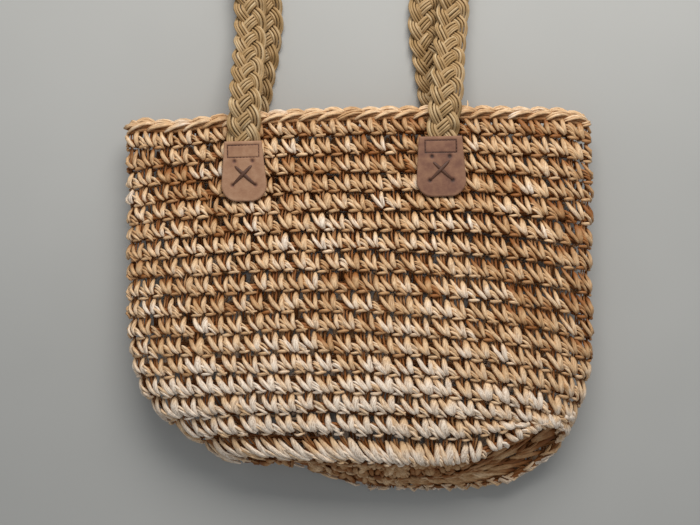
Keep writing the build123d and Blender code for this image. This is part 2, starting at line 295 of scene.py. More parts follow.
def straw_material(name, stops, groove_hex, groove_share, groove_depth, roughness):
    """Base colour = ramp over tone and a slow blotch, darkened towards groove_hex in the grooves."""
    material, tree, output = new_material(name)
    fibre = node(tree, "ShaderNodeAttribute", {"attribute_name": "fibre"}).outputs["Vector"]
    place = node(tree, "ShaderNodeTexCoord").outputs["Object"]
    stretched = node(tree, "ShaderNodeMapping", Vector=fibre,
                     Scale=(FIBRE_RUN, FIBRE_ACROSS, FIBRE_ACROSS)).outputs["Vector"]
    grooves = node(tree, "ShaderNodeTexNoise", Vector=stretched, Scale=1.0, Detail=2.0,
                   Roughness=0.6).outputs["Fac"]
    blotch = node(tree, "ShaderNodeTexNoise", Vector=place, Scale=BLOTCH_SCALE,
                  Detail=2.0).outputs["Fac"]
    pale = node(tree, "ShaderNodeValToRGB", {"stops": stops},
                Fac=moved_tone(tree, blotch, 0.5)).outputs["Color"]
    cut = node(tree, "ShaderNodeMapRange", Value=grooves, i1=GROOVE_NOISE[0], i2=GROOVE_NOISE[1],
               i3=groove_share, i4=0.0).outputs[0]
    colour = node(tree, "ShaderNodeMix", {"data_type": "RGBA"}, i0=cut, i6=pale,
                  i7=linear(groove_hex)).outputs[2]
    bump = node(tree, "ShaderNodeBump", Height=grooves, Strength=groove_depth,
                Distance=0.0006).outputs["Normal"]
    shader = node(tree, "ShaderNodeBsdfPrincipled", **{"Base Color": colour, "Roughness": roughness,
                                                       "Normal": bump, "IOR": 1.45})
    tree.links.new(shader.outputs[0], output.inputs["Surface"])
    return material


STRAW_STOPS = [(0.0, "#6c3406"), (0.25, "#a2642d"), (0.5, "#d4a877"), (0.75, "#f6d1a5"), (1.0, "#ffecd6")]
PLAIT_STOPS = [(0.0, "#664824"), (0.35, "#99794a"), (0.6, "#b8976a"), (1.0, "#e2cba3")]
crochet_straw = straw_material("twisted_raffia_straw", STRAW_STOPS, "#80552c", 0.6, 0.6, 0.62)
plait_straw = straw_material("fine_straw_cord", PLAIT_STOPS, "#8d6c3c", 0.5, 0.5, 0.6)

# %% [markdown]
# ## Handles
# Each handle is a flat plait of four strands, and each strand is a bundle of fine straw cords laid
# side by side. It leaves one tab, runs off the bag, loops round and comes back to the other tab.
# Its middle line is a smooth spline with the route's points as its control points.
# %% Handle routes
FRONT_ROUTE = [(-102.5, 130.7, 43.4), (-102.5, 145.9, 43.6), (-101.4, 161.5, 46.1), (-99.7, 185.5, 44.6),
               (-98.0, 215.0, 32.7), (-96.5, 253.5, 17.1), (-96.0, 272.0, 17.1), (-102.0, 371.0, 17.1),
               (-43.0, 430.0, 17.1), (40.0, 430.0, 17.1), (99.0, 371.0, 17.1), (93.0, 268.0, 17.1),
               (91.0, 253.5, 17.1), (85.3, 215.0, 32.7), (82.0, 185.5, 44.6), (78.5, 161.5, 46.1),
               (76.5, 145.9, 43.6), (76.5, 130.7, 43.4)]
BACK_ROUTE = [(-102.5, 130.7, 8.6), (-102.5, 145.9, 8.0), (-100.0, 163.0, 6.6), (-91.0, 208.0, 5.8),
              (-78.0, 272.0, 5.8), (-94.0, 332.0, 5.8), (-88.0, 388.0, 5.8), (-42.0, 428.0, 5.8),
              (38.0, 428.0, 5.8), (84.0, 388.0, 5.8), (84.0, 330.0, 5.8), (63.0, 268.0, 5.8),
              (73.0, 205.0, 5.8), (76.0, 163.0, 6.6), (76.5, 145.9, 8.0), (76.5, 130.7, 8.6)]


def middle_line(name, route):
    """The points of the order-3 NURBS whose control points are the route's, in metres."""
    curve = bpy.data.curves.new(name, "CURVE")
    curve.dimensions = "3D"
    spline = curve.splines.new("NURBS")
    spline.points.add(len(route) - 1)
    spline.points.foreach_set("co", np.c_[np.array(route) * MM, np.ones(len(route))].ravel())
    spline.order_u = 3
    spline.use_endpoint_u = True
    spline.resolution_u = 24
    holder = bpy.data.objects.new(name, curve)
    scene.collection.objects.link(holder)
    bpy.context.view_layer.update()
    line = bpy.data.meshes.new_from_object(holder.evaluated_get(bpy.context.evaluated_depsgraph_get()))
    points = np.empty(len(line.vertices) * 3)
    line.vertices.foreach_get("co", points)
    bpy.data.objects.remove(holder)
    bpy.data.curves.remove(curve)
    bpy.data.meshes.remove(line)
    return points.reshape(-1, 3)


def read_along(at, run, values):
    """Values (n, 3), given at the running lengths run, read between them at the lengths at."""
    return np.stack([np.interp(at, run, values[:, axis]) for axis in range(3)], axis=-1)


def evenly(points, step):
    """The line's points again, at equal steps along it, and the running length."""
    run = np.r_[0, np.cumsum(np.linalg.norm(np.diff(points, axis=0), axis=1))]
    at = np.linspace(0, run[-1], int(run[-1] / step) + 1)
    return read_along(at, run, points), at


# %% [markdown]
# In a flat plait of four, each strand swings from edge to edge as a sine and goes over and under
# three times on the way, so its height is a cosine three times as fast. The strands are a quarter
# of a wave apart. Each strand's cords lie on a small oval across its own direction.
# %% Plaits
PLAIT_WAVE = 66.6 * MM
PLAIT_SWING = 10.3 * MM
PLAIT_RISE = 3.0 * MM
BUNDLE_WIDE = 3.9 * MM
BUNDLE_DEEP = 1.35 * MM
CORD_RADIUS = 1.18 * MM
STRANDS = 4
CORDS = 8                # in each strand
CORD_WANDER = 0.35 * MM  # each cord strays this far from its place in the bundle,
WANDER_RUN = 11 * MM     # and back again in 2 pi of these
PLAIT_STEP = PLAIT_WAVE / 24
TAB_END = 145.5 * MM     # the plait is squeezed flat under the tabs, below this y
FULL_PLAIT = 161.0 * MM  # and has its full thickness from here on
SQUEEZED = 0.44          # its thickness under a tab, as a share of the full one
PLAIT_LOWEST = 0.0003    # the floor stops it here
PLAIT_TONE = 0.62
TONE_SPREAD = 0.16       # a cord is up to this much paler or browner than that


def plait_share(y):
    """The plait's thickness at y as a share of its full one: SQUEEZED under a tab, then easing to 1."""
    return SQUEEZED + (1 - SQUEEZED) * ease((y - TAB_END) / (FULL_PLAIT - TAB_END))


def plait(name, route, slot_nodes):
    """The plaited handle: cord = line(s) + x across + z up, x = swing sin t, z = rise cos 3t. Gives
    its middle line."""
    line = middle_line(name + "_line", route)
    centre, run = evenly(line, PLAIT_STEP)
    forward = unit(np.gradient(centre, axis=0))
    across = unit(np.cross(forward, np.array([0.0, 0.0, 1.0])))
    upward = np.cross(across, forward)
    thickness = plait_share(centre[:, 1])
    strand_no = np.repeat(np.arange(STRANDS), CORDS)[:, None]
    cord_angle = np.tile(2 * np.pi * np.arange(CORDS) / CORDS, STRANDS)[:, None]
    phase = 2 * np.pi * run[None, :] / PLAIT_WAVE + 2 * np.pi * strand_no / STRANDS
    stray = draw.uniform(0, 6.28, (STRANDS * CORDS, 1))
    wander = CORD_WANDER * np.sin(run[None, :] / WANDER_RUN + stray)
    swing = PLAIT_SWING * np.sin(phase)
    slope = np.arctan(PLAIT_SWING * 2 * np.pi / PLAIT_WAVE * np.cos(phase))
    offset = BUNDLE_WIDE * np.cos(cord_angle) + wander
    shift = swing + offset * np.cos(slope)
    back = -offset * np.sin(slope)
    height = (PLAIT_RISE * np.cos(3 * phase) + BUNDLE_DEEP * np.sin(cord_angle)) * thickness
    at = np.clip(run[None, :] + back, 0, run[-1])
    lift = read_along(at, run, upward)
    sideways = shift[..., None] * read_along(at, run, across)
    paths = read_along(at, run, centre) + sideways + height[..., None] * lift
    tone = PLAIT_TONE + draw.uniform(-TONE_SPREAD, TONE_SPREAD, STRANDS * CORDS)
    shape = strands(paths, CORD_RADIUS, CORD_RADIUS * (0.35 + 0.65 * thickness[None, :]), lift, 6, tone)
    shape["verts"][:, 2] = np.maximum(shape["verts"][:, 2], PLAIT_LOWEST)
    made = add_piece(name, shape, plait_straw, body=None)
    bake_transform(made)
    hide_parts(*slot_nodes)
    return line


front_line = plait("front_plait", FRONT_ROUTE,
                   ("front_handle", "front_left_plait_end", "front_right_plait_end"))
back_line = plait("back_plait", BACK_ROUTE,
                  ("back_handle", "back_left_plait_end", "back_right_plait_end"))

# %% [markdown]
# ## The body's surface
# The crocheted body is a flattened tube that lies on its back, with a rounded base that leans so that
# its end faces a little upwards. Each round of crochet is a line on this surface. The surface is a
# function of two numbers: the round, counted down from the mouth, and the share of the way round.
# All its sizes are in millimetres, until on_body gives metres.
# %% Body surface
RIM_Y = 165.0
WALL_END_Y = -118.0
BASE_DEPTH = 58.0
CROWN_Y = -85.0          # the front is highest here
CROWN_Z = 72.0
RIM_FRONT_Z = 39.0
RIM_BACK_Z = 13.5
BACK_DROP = 15.0         # the back comes down by this from the rim to REST_Y
REST_Y = 20.0
HALF_WIDTH = 215.0       # at the rim
CORNER_Y = 60.0          # the sides begin to draw in here,
CORNER_IN = 38.0         # and have drawn in by this at the wall's end
BASE_SLIDE = 43.0        # as the base closes it slides to the right, by up to this
FIRST_ROUND_Y = 163.5
ROUND_PITCH = 17.42
LAST_WALL_ROUND = 17.0   # the round along the fold between panel and base
BASE_ROUNDS = 2.0        # rounds between that fold and the base's middle seam
WIDER_FROM = 15.8        # below this round the rounds stand further apart
WIDER_BY = 10.5          # by this much for each round
FOLD_TILT = 40.0         # lean of the lowest rounds, in degrees
SLIPPED = 12.0           # the lowest rounds end this much, twice over, further in on the left
SKIN = 4.0               # the crochet's middle lies this far inside the outer face
LOWEST = 4.6             # and no lower than this above the floor


def section(y):
    """The body's section at y: (centre x, middle height, half width, half height). On the wall, front
    and back ease from the rim's heights to the belly's, and the width is HALF_WIDTH, less a little
    below the mouth, less CORNER_IN c^5 near the corners. Past the wall's end the base closes by the
    angle t, sin t = depth / BASE_DEPTH: width (1 - sin(t)^1.4)^0.55 and height cos(t)^0.42."""
    held = np.clip(y, WALL_END_Y, RIM_Y)
    front = RIM_FRONT_Z + (CROWN_Z - RIM_FRONT_Z) * ease((RIM_Y - held) / (RIM_Y - CROWN_Y))
    back = RIM_BACK_Z - BACK_DROP * ease((RIM_Y - held) / (RIM_Y - REST_Y))
    corner = np.clip((CORNER_Y - held) / (CORNER_Y - WALL_END_Y), 0, 1) ** 5
    below_mouth = ease((100.0 - held) / 100.0)
    width = HALF_WIDTH - 2.5 * below_mouth - CORNER_IN * corner
    turn = np.arcsin(np.clip((WALL_END_Y - y) / BASE_DEPTH, 0, 0.985))
    width = width * (1 - np.sin(turn) ** 1.4) ** 0.55
    height = (front - back) / 2 * np.cos(turn) ** 0.42
    centre = 1.5 - 2.7 * below_mouth + 12.0 * corner + BASE_SLIDE * turn / (np.pi / 2)
    return centre, (front + back) / 2, width - SKIN, height - SKIN


FOLD_LIFT = 30.0         # how far the fold rises at the right side
FACE_HOLLOW = 7.0        # how deep the base's face is sunk in
SEAM_X = 20.0            # the middle of the base's seam,
SEAM_SHARE = 0.72        # which is this long, as a share of the fold
SEAM_STOP = 0.985        # the face stops this far along from the fold to the seam
SQUARENESS = 2.8         # of the superellipse: 2 is an oval, and more is squarer
ROUNDS_FROM = -1.0
ROUNDS_TO = LAST_WALL_ROUND + BASE_ROUNDS
ROUND_STEPS = 260
ROUND_LEVELS = np.linspace(ROUNDS_FROM, ROUNDS_TO, ROUND_STEPS)
AROUND = 512
SHARES = np.arange(AROUND) / AROUND


def plain_loops(levels):
    """Points (levels, AROUND, 3): superellipse sections at equal steps round from the middle of the
    front, x = centre + width |cos|^(2/n) and rise = height |sin|^(2/n), n being SQUARENESS. Each leans
    by its tilt about its middle, whose y is found in a few steps so that its front stays at front_y.
    Its width is read halfway between the two, and the lowest ones are slipped in on the left."""
    front_y = FIRST_ROUND_Y - ROUND_PITCH * levels - WIDER_BY * np.maximum(levels - WIDER_FROM, 0)
    tilt = np.radians(FOLD_TILT) * ease((levels - 13.0) / 4.5)
    middle_y = front_y.copy()
    for _ in range(6):
        centre, middle_z, width, height = section(middle_y)
        middle_y = front_y - height * np.sin(tilt)
    centre, _, width, _ = section((front_y + middle_y) / 2)
    slipped = SLIPPED * ease((levels - 14.2) / 2.8)
    centre = centre + slipped
    width = width - slipped
    angle = np.pi / 2 - 2 * np.pi * np.linspace(0, 1, 1441)
    across = np.sign(np.cos(angle)) * np.abs(np.cos(angle)) ** (2 / SQUARENESS)
    rise = np.sign(np.sin(angle)) * np.abs(np.sin(angle)) ** (2 / SQUARENESS)
    x = centre[:, None] + width[:, None] * across
    up = height[:, None] * rise
    y = middle_y[:, None] + up * np.sin(tilt)[:, None]
    z = middle_z[:, None] + up * np.cos(tilt)[:, None]
    loops = np.stack([x, y, z], axis=-1)
    steps = np.linalg.norm(np.diff(loops, axis=1), axis=2)
    run = np.concatenate([np.zeros((len(levels), 1)), np.cumsum(steps, axis=1)], axis=1)
    grid = np.empty((len(levels), AROUND, 3))
    for row in range(len(levels)):
        for axis in range(3):
            grid[row, :, axis] = np.interp(SHARES * run[row, -1], run[row], loops[row, :, axis])
    grid[..., 2] = np.maximum(grid[..., 2], LOWEST)
    return grid


def read_grid(grid, level, share):
    """Bilinear reading of grid at level (in rounds) and share (of the way round)."""
    row = np.clip((level - ROUNDS_FROM) / (ROUNDS_TO - ROUNDS_FROM), 0, 1) * (ROUND_STEPS - 1)
    row_0 = np.minimum(row.astype(int), ROUND_STEPS - 2)
    row_part = (row - row_0)[..., None]
    column = (share % 1.0) * AROUND
    column_0 = column.astype(int) % AROUND
    column_1 = (column_0 + 1) % AROUND
    column_part = (column - np.floor(column))[..., None]
    upper = grid[row_0, column_0] * (1 - column_part) + grid[row_0, column_1] * column_part
    lower = grid[row_0 + 1, column_0] * (1 - column_part) + grid[row_0 + 1, column_1] * column_part
    return upper * (1 - row_part) + lower * row_part


def droop(x, level):
    """How far, in rounds, a round hangs below its middle at x. In millimetres it is 12 on the left at
    the mouth and 3 lower down, times |x / 205|^2.5, and 6 on the right at the mouth and 27 lower down,
    times |x / 205|^2.2. The mouth's left corner has 6 less and its right corner 5 more, and it all
    fades in the lowest rounds."""
    depth = np.clip(level * ROUND_PITCH, 0, 400)
    left = (12.0 - 9.0 * np.clip(depth / 150, 0, 1)) * np.clip(-x / 205, 0, 1.05) ** 2.5
    left = left - 6.0 * ease((-x - 165) / 35) * (1 - ease(level / 1.5))
    right = (6.0 + 21.0 * np.clip(depth / 170, 0, 1)) * np.clip(x / 205, 0, 1.05) ** 2.2
    corner = 5.0 * np.clip((x - 180) / 31, 0, 1) ** 2 * (1 - ease(level / 3))
    fade = 1 - ease((level - 13.5) / 3.5)
    return (left + right + corner) * fade / ROUND_PITCH


def round_lift(level, share):
    """How far, in rounds, a round of stitches lies above its even place: nearly half a round at the
    mouth, less lower down and least there on the right."""
    x = read_grid(BODY_GRID, level, share)[..., 0]
    on_right = ease((x + 60) / 140) * ease((level - 4) / 6)
    lift = 7.6 - 1.6 * ease((level - 6) / 4) - 6.0 * on_right
    return lift * (1 - ease(level - LAST_WALL_ROUND)) / ROUND_PITCH


def fold_lift(share, level):
    """How far, in rounds, the lowest rounds rise towards the sides: FOLD_LIFT |sin t|^p on the right
    and about a quarter of it on the left, t being the way round. The power p differs in each quarter,
    because the base has slipped and turned its right side to the front. Behind, 5 mm on the right and
    21 mm on the left, times |sin 2 t| sin^4 t, are added."""
    turn = 2 * np.pi * share
    front = np.cos(turn) > 0
    power = np.where(np.sin(turn) > 0, np.where(front, 5.0, 14.0), np.where(front, 10.0, 3.7))
    rise = FOLD_LIFT * (0.63 + 0.37 * np.sin(turn)) * np.abs(np.sin(turn)) ** power
    behind = np.where(front, 0.0, np.where(np.sin(turn) > 0, 5.0, 21.0))
    rise = rise + behind * np.abs(np.sin(2 * turn)) * np.sin(turn) ** 4
    return rise * ease((level - 15.0) / 2.0) / ROUND_PITCH


def fold_slide(share, level):
    """The share of the way round that the lowest rounds follow instead: behind the right side they
    stay at the side for longer, 1/4 + (s - 1/4) (4 s - 1)^0.7, before they turn to the back."""
    part = np.clip(4 * share - 1, 0, 1)
    slid = 0.25 + 0.25 * part ** 1.7
    inside = (share > 0.25) & (share < 0.5)
    return np.where(inside, share + (slid - share) * ease((level - 15.0) / 2.0), share)


def body_grid():
    """The wall is read from the plain loops at shifted rounds. The base's face runs from the fold,
    F, to the seam, M, halfway between front and back: (1 - q) F + q M, sunk in by 4 q (1 - q)."""
    plain = plain_loops(ROUND_LEVELS)
    wall_levels = np.minimum(ROUND_LEVELS, LAST_WALL_ROUND)[:, None]
    wall_levels = np.broadcast_to(wall_levels, (ROUND_STEPS, AROUND))
    shares = np.broadcast_to(SHARES, wall_levels.shape)
    moved = wall_levels + droop(plain[..., 0], wall_levels) - fold_lift(shares, wall_levels)
    grid = read_grid(plain, moved, fold_slide(shares, wall_levels))
    past = (ROUND_LEVELS - ROUND_LEVELS[ROUND_LEVELS >= 0][0])[:, None]
    first = grid[ROUND_LEVELS >= 0][0, :, 1]
    grid[..., 1] = np.where(past < 0, first - ROUND_PITCH * past, grid[..., 1])
    fold = grid[-1]
    opposite = fold[(AROUND // 2 - np.arange(AROUND)) % AROUND]
    seam = (fold + opposite) / 2
    seam[:, 0] = SEAM_X + (seam[:, 0] - SEAM_X) * SEAM_SHARE
    share = np.clip((ROUND_LEVELS - LAST_WALL_ROUND) / BASE_ROUNDS, 0, 1)[:, None, None] * SEAM_STOP
    face = fold * (1 - share) + seam * share
    sink = FACE_HOLLOW * 4 * share[..., 0] * (1 - share[..., 0])
    face[..., 1] += sink * np.cos(np.radians(FOLD_TILT))
    face[..., 2] -= sink * np.sin(np.radians(FOLD_TILT))
    return np.where(share > 0, face, grid)


BODY_GRID = body_grid()
down = np.gradient(BODY_GRID, axis=0)
rightward = np.roll(BODY_GRID, -1, axis=1) - np.roll(BODY_GRID, 1, axis=1)
BODY_NORMALS = unit(np.cross(down, rightward))
ROUND_LENGTHS = np.linalg.norm(np.roll(BODY_GRID, -1, axis=1) - BODY_GRID, axis=2).sum(axis=1)
print("lengths of rounds, from the mouth to the base, mm", ROUND_LENGTHS[::52].round(0))


def on_body(level, share, height):
    """(points in metres, outward normals) at that round and share, height mm outside the middle."""
    point = read_grid(BODY_GRID, level, share)
    normal = unit(read_grid(BODY_NORMALS, level, share))
    return (point + height[..., None] * normal) * MM, normal


# %% [markdown]
# ## Tab seats
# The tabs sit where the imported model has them. A plane through each tab's vertices tells how it
# leans, and the crochet is pressed in under it and under the plait beside it.
# %% Tab seats
MID_Z = 0.024            # the front's tabs lie above this, and the back's below
TAB_CLEAR = 0.6 * MM     # straw stays this far inside a tab's inner face
TAB_REACH = 0.0225       # half of the width kept clear under a tab,
TAB_LONG = 0.054         # and its height
PLAIT_REACH = 0.0155     # half of the width kept clear under a plait, and how far below a tab's top
PLAIT_CLEAR_TO = 0.19    # past this y the plait is off the bag
PLAIT_HALF = 5.5 * MM    # half of the plait's thickness, and straw stays 0.2 mm off it
STRAW_LOWEST = 0.0004    # the floor stops it here


def seat_of(tab_node, side):
    """Plane z = height + slope (y - top) of the tab's inner face, from its lowest or highest layer."""
    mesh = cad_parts[tab_node].data
    points = np.empty(len(mesh.vertices) * 3)
    mesh.vertices.foreach_get("co", points)
    points = points.reshape(-1, 3)
    top = points[:, 1].max()
    slope, height = np.polyfit(points[:, 1] - top, points[:, 2], 1)
    residual = side * (points[:, 2] - height - slope * (points[:, 1] - top))
    middle_x = (points[:, 0].min() + points[:, 0].max()) / 2
    inner = height + side * residual.min()
    return {"x": middle_x, "top": top, "slope": slope, "side": side, "inner": inner}


SEATS = {f"{face}_{hand}": seat_of(f"{face}_{hand}_tab", side)
         for face, side in (("front", 1), ("back", -1)) for hand in ("left", "right")}
for seat_name, seat in SEATS.items():
    print(seat_name, {key: round(float(value), 4) for key, value in seat.items()})


def press_under(verts):
    """Keeps straw clear of tabs and plaits: z is held inside the tab's inner face, or inside the
    plait's underside from the tab to past the rim, and above the floor everywhere."""
    x, y, z = verts.T
    for seat in SEATS.values():
        side = seat["side"]
        facing = side * (z - MID_Z) > 0
        under_tab = facing & (np.abs(x - seat["x"]) < TAB_REACH)
        under_tab = under_tab & (y < seat["top"]) & (y > seat["top"] - TAB_LONG)
        plane = seat["inner"] + seat["slope"] * (y - seat["top"]) - side * TAB_CLEAR
        z = np.where(under_tab, side * np.minimum(side * z, side * plane), z)
        line = front_line if side > 0 else back_line
        beside = line[line[:, 1] < PLAIT_CLEAR_TO + 0.01]
        beside = beside[np.abs(beside[:, 0] - seat["x"]) < 0.05]
        order = np.argsort(beside[:, 1])
        leg_x = np.interp(y, beside[order, 1], beside[order, 0])
        leg_z = np.interp(y, beside[order, 1], beside[order, 2])
        under_leg = facing & (np.abs(x - leg_x) < PLAIT_REACH)
        under_leg = under_leg & (y > seat["top"] - PLAIT_REACH) & (y < PLAIT_CLEAR_TO)
        plane = leg_z - side * (PLAIT_HALF * plait_share(y) + 0.2 * MM)
        z = np.where(under_leg, side * np.minimum(side * z, side * plane), z)
    return np.stack([x, y, np.maximum(z, STRAW_LOWEST)], axis=1)


# %% [markdown]
# ## Crochet stitches
# Each stitch shows a V: a thin arm that slants down to the right, and beside it a fat upright one.
# To the right of the V the straw wraps over itself in a knot of finer strands, and behind the V two
# brown strands climb to the round above, made darker still with painted shade. The bottoms of the Vs
# and the knots make the raised ridge of each round, with dark holes above the knots.
# A stitch is drawn once, in millimetres to the right, up, and out from the foot of its V. Arrays of
# all the stitches of a few rounds are then bent onto the body at once, each a little different.
# %% Stitches
STITCH_PITCH = 16.5
ARM_PAINTED_SHADE = [-0.34, -0.22, -0.07, 0.04, 0.07, 0.03]   # the arms are darker at the top: painted shade where they reach into the gap under the round above
LEAN = 0.12              # towards the bag's sides the stitches lean, top inwards, by this slope
LOW_LEAN = 1.05          # and more in the lowest rounds, which draw in towards the base
STITCH_TWIST = 0.12      # radians for each millimetre
RIDGE_CORDS = ((3.0, -0.4), (0.6, 0.2))   # how far up and out from the stitches' feet
RIDGE_GIRTH = 1.6 * MM
ROUND_SHIFT = 0.1        # from round to round the stitches step back by this share of a stitch
FAT_SHARE = 0.25         # of the stitches have a fatter upright arm


def spread(count, *shape, by):
    """Random numbers between -by and by, one array per stitch."""
    return draw.uniform(-by, by, (count, *shape))


def bend_on(level, share, length, pattern):
    """Pattern (n, k, 3) of (right, up, out) in mm, laid on the body round each stitch's foot."""
    at_level = level[:, None] - pattern[..., 1] / ROUND_PITCH
    at_share = share[:, None] + pattern[..., 0] / length[:, None]
    return on_body(at_level, at_share, pattern[..., 2])


def stitch_strand(feet, shape_mm, wobble, wide, deep, sides, tone, shade=0.0):
    """One strand of every stitch: the drawn points, each moved a little, as tubes on the body. Feet
    holds each stitch's level, share, length of its round and width. At t round the bag it leans by
    LEAN sin t, and low down by LOW_LEAN (0.75 sin t - 0.2 sin^2 t - 0.6 cos t) more. The stitches of
    the last round and the base are a fifth shorter."""
    count = len(feet[0])
    pattern = np.broadcast_to(np.array(shape_mm, float), (count, len(shape_mm), 3)).copy()
    pattern += spread(count, 1, 3, by=1.0) * np.array(wobble) + spread(count, len(shape_mm), 3, by=0.25)
    pattern[..., 0] *= feet[3][:, None]
    turn = 2 * np.pi * feet[1]
    low_lean = 0.75 * np.sin(turn) - 0.2 * np.sin(turn) ** 2 - 0.6 * np.cos(turn)
    lean = LEAN * np.sin(turn) + LOW_LEAN * ease((feet[0] - 13.5) / 2.5) * low_lean
    pattern[..., 1] *= (1 - 0.2 * ease(feet[0] - 15.6))[:, None]
    pattern[..., 0] -= lean[:, None] * pattern[..., 1]
    paths, normals = bend_on(feet[0], feet[1], feet[2], pattern)
    size = 1 + spread(count, 1, by=0.16)
    return strands(paths, np.array(wide) * MM * size, np.array(deep) * MM * size, normals, sides,
                   tone, STITCH_TWIST, shade)


def stitches(rounds):
    """All the strands of the stitches of these rounds, and the two cords behind each ridge. A round
    has its length over STITCH_PITCH stitches, and they are paler low down and darker on the base,
    where the darkening is painted shade."""
    groups = []
    level, share, length = [], [], []
    for round_no in rounds:
        around = np.interp(round_no, ROUND_LEVELS, ROUND_LENGTHS)
        count = max(6, int(round(around / STITCH_PITCH)))
        uneven = draw.uniform(-0.12, 0.12, count)
        places = (np.arange(count) + 0.5 - ROUND_SHIFT * round_no + uneven) / count
        level.append(np.full(count, float(round_no)) + draw.uniform(-0.05, 0.05, count))
        share.append(places)
        length.append(np.full(count, around))
        ring = 3 * count
        turns = np.linspace(0, 1, ring + 1)[None, :]
        # the cords behind the ridge have tone 0.22: brown straw, made darker than its own colour as painted
        # shade behind the stitches
        for rise, out in RIDGE_CORDS:
            pattern_level = round_no - rise / ROUND_PITCH + 0.03 * np.sin(turns * np.pi * count)
            pattern_level = pattern_level - round_lift(pattern_level, turns)
            height = out + 0.6 * np.sin(turns * 2 * np.pi * count + rise)
            paths, normals = on_body(pattern_level, turns, height)
            groups.append(strands(paths, RIDGE_GIRTH, RIDGE_GIRTH, normals, 5, 0.22, STITCH_TWIST))
    level = np.concatenate(level)
    share = np.concatenate(share)
    even_level = level
    level = level - round_lift(level, share)
    length = np.concatenate(length)
    count = len(level)
    feet = (level, share, length, 1 + draw.uniform(-0.06, 0.06, count))
    low_down = ease((level - 10.5) / 4.0)
    on_right = np.clip(np.sin(2 * np.pi * share), 0, 1) ** 2
    shaded_base = ease((even_level - LAST_WALL_ROUND) / 0.5)
    below_top = ease((level - 3.0) / 3.0)
    # the base's rounds are 0.5 darker: painted shade on its face, which turns away from the window
    mid_tone = 0.60 + 0.11 * below_top * (1 - on_right) + 0.27 * low_down - 0.06 * on_right - 0.50 * shaded_base
    straw_tone = np.clip(mid_tone + draw.normal(0, 0.11, count), 0.3, 1.0)
    is_fat = draw.random(count) > 1 - FAT_SHARE
    fat = (1 + 0.5 * is_fat * draw.uniform(0.5, 1.0, count))[:, None]
    fuller = (1.08 + 0.30 * low_down)[:, None]
    groups.append(stitch_strand(
        feet, [(-9.0, 13.4, -1.4), (-8.2, 10.6, 0.6), (-6.4, 7.2, 2.3), (-4.0, 3.9, 3.4), (-1.3, 1.1, 3.7),
               (1.6, -1.4, 2.5)],
        (0.9, 0.9, 0.4), np.array([0.7, 1.4, 1.85, 1.95, 1.75, 1.1]) * fuller,
        [0.7, 1.3, 1.6, 1.7, 1.5, 1.0], 6, straw_tone + spread(count, by=0.08), ARM_PAINTED_SHADE))
    groups.append(stitch_strand(
        feet, [(1.8, 13.4, -1.2), (2.0, 10.6, 0.8), (2.0, 7.5, 2.4), (2.2, 4.4, 3.2), (2.9, 1.5, 3.2),
               (4.4, -1.2, 2.0)],
        (1.1, 1.0, 0.4), np.array([0.8, 1.7, 2.15, 2.2, 1.9, 1.2]) * fat * fuller,
        [0.8, 1.4, 1.7, 1.75, 1.5, 1.0], 6, straw_tone + 0.05 + spread(count, by=0.08), ARM_PAINTED_SHADE))
    for strand_no in range(3):
        aside = 0.55 * strand_no
        fall = 1.9 * strand_no
        groups.append(stitch_strand(
            feet, [(3.4 + aside, 6.0 - fall, 1.4), (5.2 + aside, 5.4 - fall, 3.3),
                   (7.8 + aside, 3.7 - fall, 3.9), (10.2 + aside, 1.2 - fall, 2.8),
                   (11.4 + aside, -0.4 - fall, 1.4)],
            (0.9, 1.0, 0.5), [0.6, 1.15, 1.3, 1.15, 0.7], [0.6, 1.1, 1.25, 1.1, 0.7], 5,
            straw_tone - 0.05 + spread(count, by=0.13)))
    # the knot's lowest strand lies in the dark line below the ridge and is 0.13 darker: painted shade
    groups.append(stitch_strand(
        feet, [(4.0, -3.4, 0.8), (6.6, -3.4, 2.4), (9.8, -3.0, 2.6), (13.4, -2.6, 1.2)], (1.5, 0.8, 0.5),
        [1.0, 1.5, 1.6, 1.1], [0.9, 1.4, 1.4, 1.0], 5, straw_tone - 0.13 + spread(count, by=0.10)))
    # the two strands behind the V have tone 0.24: brown straw, made darker than its own colour as painted
    # shade behind the stitches
    for aside in (-5.2, -2.3):
        groups.append(stitch_strand(
            feet, [(aside + 0.8, 3.0, 0.0), (aside, 8.0, -0.9), (aside - 0.2, 12.5, -1.0),
                   (aside + 0.4, 16.8, -0.4)],
            (0.7, 0.8, 0.4), [0.8, 1.1, 1.1, 0.8], [0.8, 1.0, 1.0, 0.8], 4,
            0.24 + spread(count, by=0.12)))
    joined = together(groups)
    joined["verts"] = press_under(joined["verts"])
    return joined


ROUND_GROUPS = {
    "crochet_rounds_upper": (1, 2, 3, 4, 5),
    "crochet_rounds_middle": (6, 7, 8, 9, 10, 11),
    "crochet_rounds_lower": (12, 13, 14, 15, 16, 17),
}
crochet = {name: add_piece(name, stitches(rounds), crochet_straw)
           for name, rounds in ROUND_GROUPS.items()}
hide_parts("crochet_wall")
SHOWN_BASE_ROUNDS = (17.75, 18.35, 18.9)
base_rounds = add_piece("crochet_base_rounds", stitches(SHOWN_BASE_ROUNDS), crochet_straw)
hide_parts("crochet_base")

# %% [markdown]
# ## Rim chain
# The mouth is finished with a chain stitch: long loops that lie along the edge, each coming out of
# the round head of the one before. Every link has a leg on top, one on the outside and one inside,
# each of two plies laid side by side, and two plain cords close the edge under them. One end of straw
# has come loose.
# %% Rim chain
LINK_PITCH = 17.5
PLY_APART = 1.05
FRAY_AT = 100.0          # the loose end is this far to the right of the middle
rim_length = np.interp(0.0, ROUND_LEVELS, ROUND_LENGTHS)
link_count = int(round(rim_length / LINK_PITCH))
link_share = (np.arange(link_count) + draw.uniform(-0.05, 0.05, link_count)) / link_count
link_feet = (np.zeros(link_count), link_share, np.full(link_count, rim_length), np.ones(link_count))
link_tone = np.clip(0.66 + draw.normal(0, 0.08, link_count), 0.3, 1.0)
FOOT = RIM_Y - FIRST_ROUND_Y + 1.8          # the links' feet lie this far up from the mouth's round
